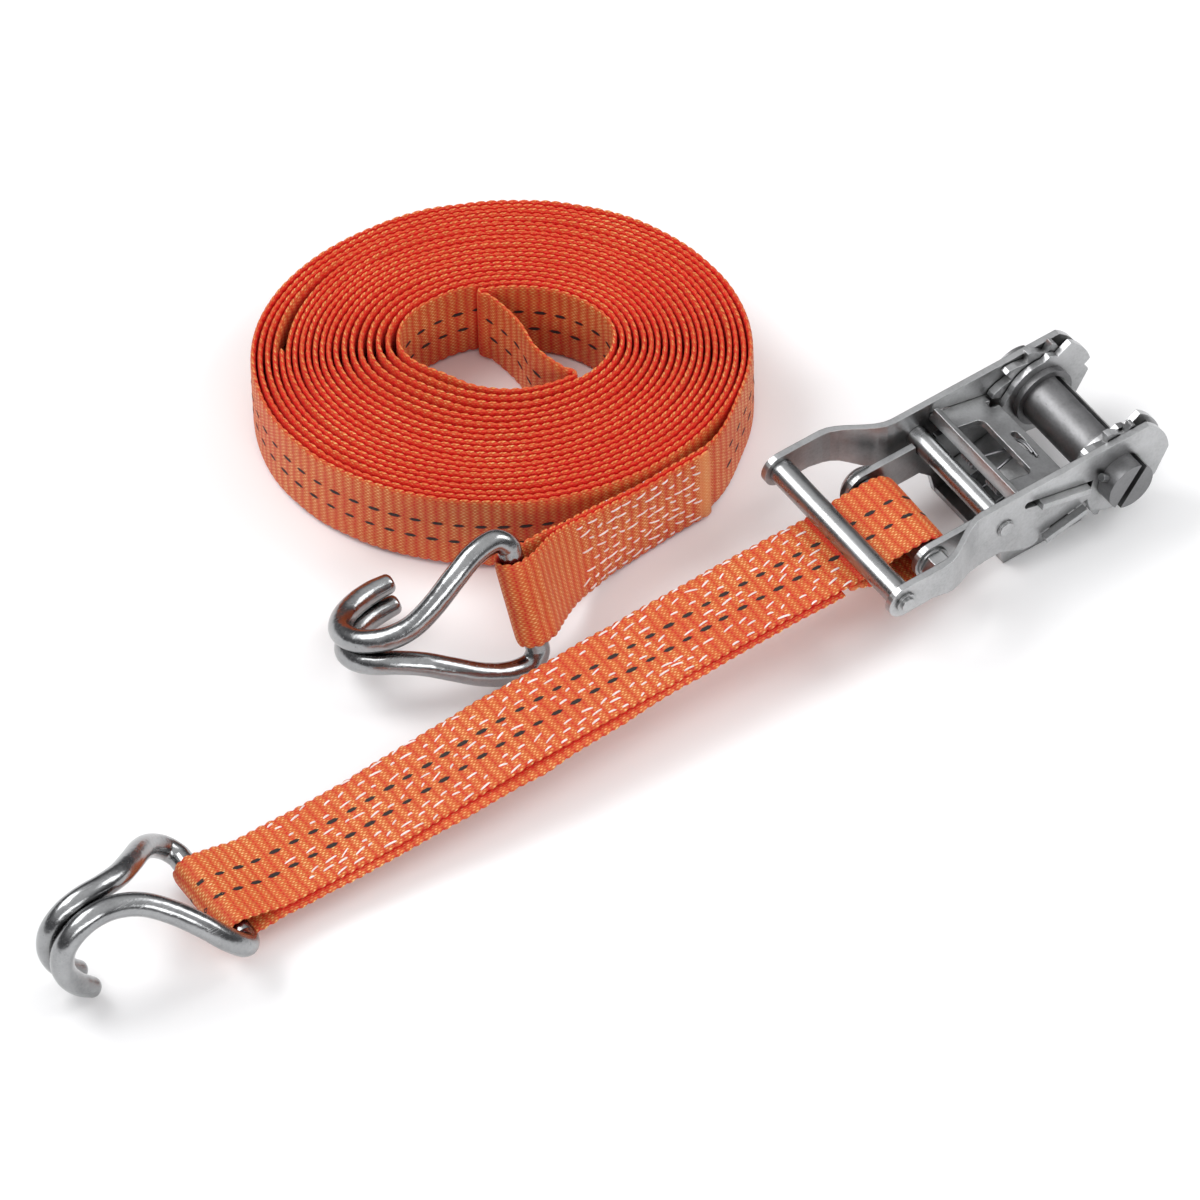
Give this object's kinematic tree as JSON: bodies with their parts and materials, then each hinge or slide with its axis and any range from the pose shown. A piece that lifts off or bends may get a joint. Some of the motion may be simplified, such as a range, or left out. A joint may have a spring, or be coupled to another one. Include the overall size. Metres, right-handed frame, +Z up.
{
  "type": "ratchet tie down",
  "caption": "Ratchet buckle on a short sewn webbing strap with a double-J wire hook, and a long webbing strap wound in a coil with its own hook.",
  "frame": {"origin": "centre of the underside of the buckle frame's base plate", "axes": "+X from the fixed hook towards the drum, +Y to the buckle's left side where the coil lies, +Z up"},
  "size_m": [0.4516, 0.2577, 0.0571],
  "materials": {
    "zinc_plate": "zinc plated pressed steel, satin",
    "bright_steel": "bright zinc, polished",
    "drum_steel": "turned steel, satin",
    "hook_wire": "bright zinc plated wire",
    "spring_wire": "drawn spring wire",
    "webbing": "ribbed woven polyester webbing, orange",
    "thread": "white polyester sewing thread",
    "tracer": "black tracer yarn"
  },
  "bodies": {
    "frame": {"frame": "zinc_plate", "strap_bolt": "bright_steel", "bolt_sleeve": "zinc_plate", "bolt_washer": "zinc_plate", "bolt_nut": "zinc_plate", "drum_bush_left": "drum_steel", "drum_bush_right": "drum_steel", "frame_spring": "spring_wire", "frame_spring_pin": "zinc_plate"},
    "frame_pawl": {"frame_pawl": "zinc_plate"},
    "drum": {"drum_half_upper": "drum_steel", "drum_half_lower": "drum_steel", "ratchet_wheel_left": "zinc_plate", "ratchet_wheel_right": "zinc_plate", "split_pin_left": "bright_steel", "split_pin_right": "bright_steel"},
    "handle": {"handle_plate_left": "zinc_plate", "handle_plate_right": "zinc_plate", "grip_tube": "bright_steel", "grip_rivet": "zinc_plate", "cross_rod": "zinc_plate", "cross_sleeve": "bright_steel", "handle_spring": "spring_wire"},
    "handle_pawl": {"handle_pawl": "zinc_plate"},
    "fixed_strap": {"fixed_strap": "webbing"},
    "fixed_hook": {"fixed_hook": "hook_wire"},
    "loose_strap": {"loose_strap_coil": "webbing", "loose_strap_core": "webbing", "loose_strap_tail": "webbing"},
    "loose_hook": {"loose_hook": "hook_wire"}
  },
  "joints": [
    {"name": "handle_hinge", "type": "hinge", "parent": "frame", "child": "handle", "pos_m": [0.028, 0, 0.0225], "axis": [0, 1, 0], "range_deg": [0, 158]},
    {"name": "handle_pawl_slide", "type": "slide", "parent": "handle", "child": "handle_pawl", "axis": [-0.9677, 0, 0.2521], "range_m": [-0.0025, 0.005], "stiffness_N_per_m": 600},
    {"name": "drum_turn", "type": "hinge", "parent": "frame", "child": "drum", "pos_m": [0.028, 0, 0.0225], "axis": [0, 1, 0], "continuous": true},
    {"name": "frame_pawl_slide", "type": "slide", "parent": "frame", "child": "frame_pawl", "axis": [-0.9774, 0, -0.2113], "range_m": [-0.0025, 0.004], "stiffness_N_per_m": 600},
    {"name": "strap_swing", "type": "hinge", "parent": "frame", "child": "fixed_strap", "pos_m": [-0.049, 0, 0.0225], "axis": [0, 1, 0], "range_deg": [-80, 0]},
    {"name": "fixed_hook_swing", "type": "hinge", "parent": "fixed_strap", "child": "fixed_hook", "pos_m": [-0.33442, 0.00698, 0.0135], "axis": [0.0244, 0.9997, 0], "range_deg": [-60, 100]},
    {"name": "loose_strap_lift", "type": "slide", "parent": "frame", "child": "loose_strap", "axis": [0, 0, 1], "range_m": [0, 0.15]},
    {"name": "loose_hook_swing", "type": "hinge", "parent": "loose_strap", "child": "loose_hook", "pos_m": [-0.178, 0.044, 0.029], "axis": [0, 0.3859, 0.9225], "range_deg": [-12, 28]}
  ]
}
